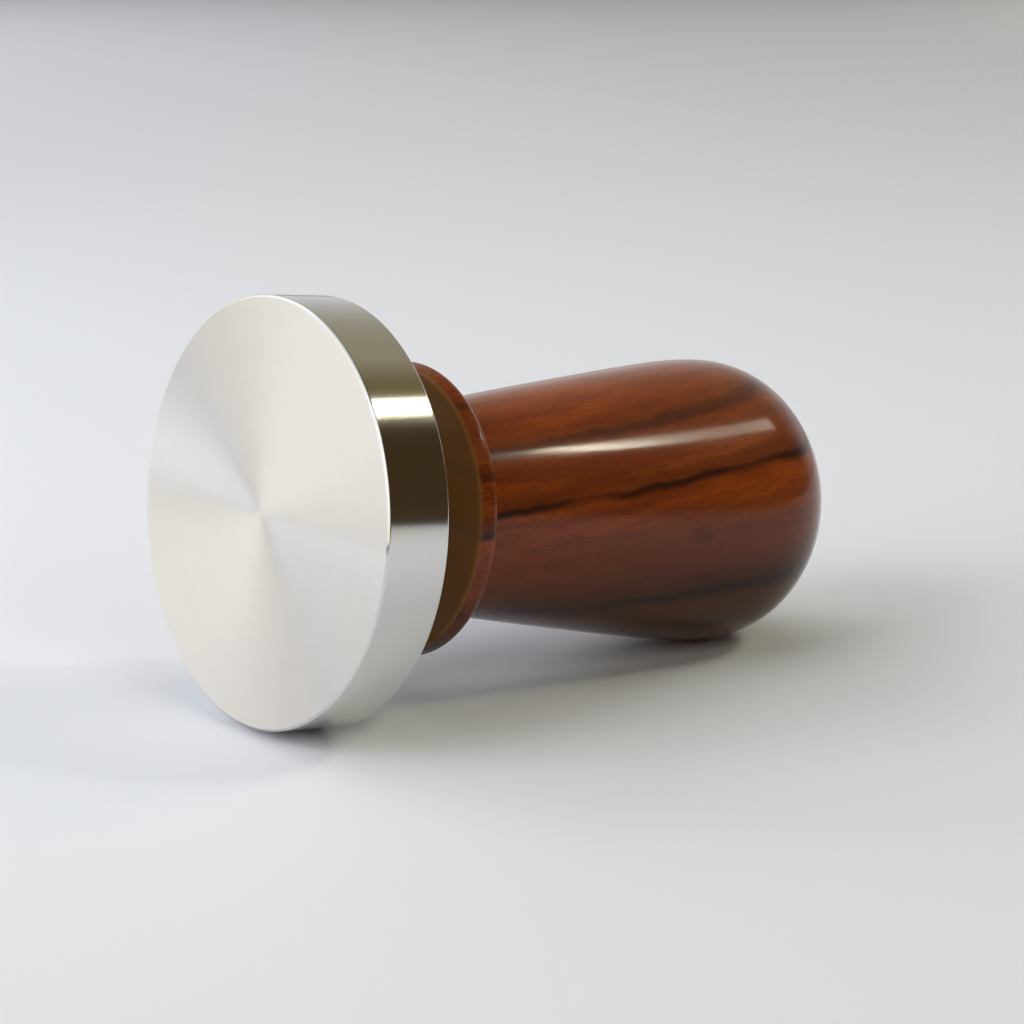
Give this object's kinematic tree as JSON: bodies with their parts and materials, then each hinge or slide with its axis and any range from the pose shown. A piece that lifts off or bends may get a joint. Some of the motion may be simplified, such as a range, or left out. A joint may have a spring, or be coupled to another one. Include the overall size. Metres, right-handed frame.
{
  "type": "espresso tamper",
  "caption": "Turned steel disc base with a short waisted boss, screwed by a stud to a turned wooden handle with a flange and a domed grip.",
  "frame": {"origin": "centre of the tamping face, which is the lowest point of the tamper when it stands on its base", "axes": "+Z along the common axis of base and handle, from the tamping face up to the dome of the handle; X and Y are free, because every piece is turned"},
  "size_m": [0.058, 0.058, 0.0935],
  "materials": {
    "base_steel": "fine turned face, bright turned rim",
    "washer_steel": "plain ground",
    "stud_steel": "plain machined",
    "insert_brass": "plain machined",
    "handle_wood": "red-brown wood with dark streaks, gloss varnish"
  },
  "bodies": {
    "base": {"base": "base_steel"},
    "washer": {"washer": "washer_steel"},
    "handle": {"handle": "handle_wood", "handle_insert": "insert_brass", "stud": "stud_steel"}
  },
  "joints": [
    {"name": "handle_rise", "type": "slide", "parent": "base", "child": "washer", "axis": [0, 0, 1], "range_m": [0, 0.0115]},
    {"name": "handle_unscrew", "type": "hinge", "parent": "washer", "child": "handle", "pos_m": [0, 0, 0.0215], "axis": [0, 0, 1], "range_deg": [0, 2700]}
  ],
  "couplings": [
    {"joint": "handle_rise", "follows": "handle_unscrew", "m_per_rad": 0.00023873}
  ]
}
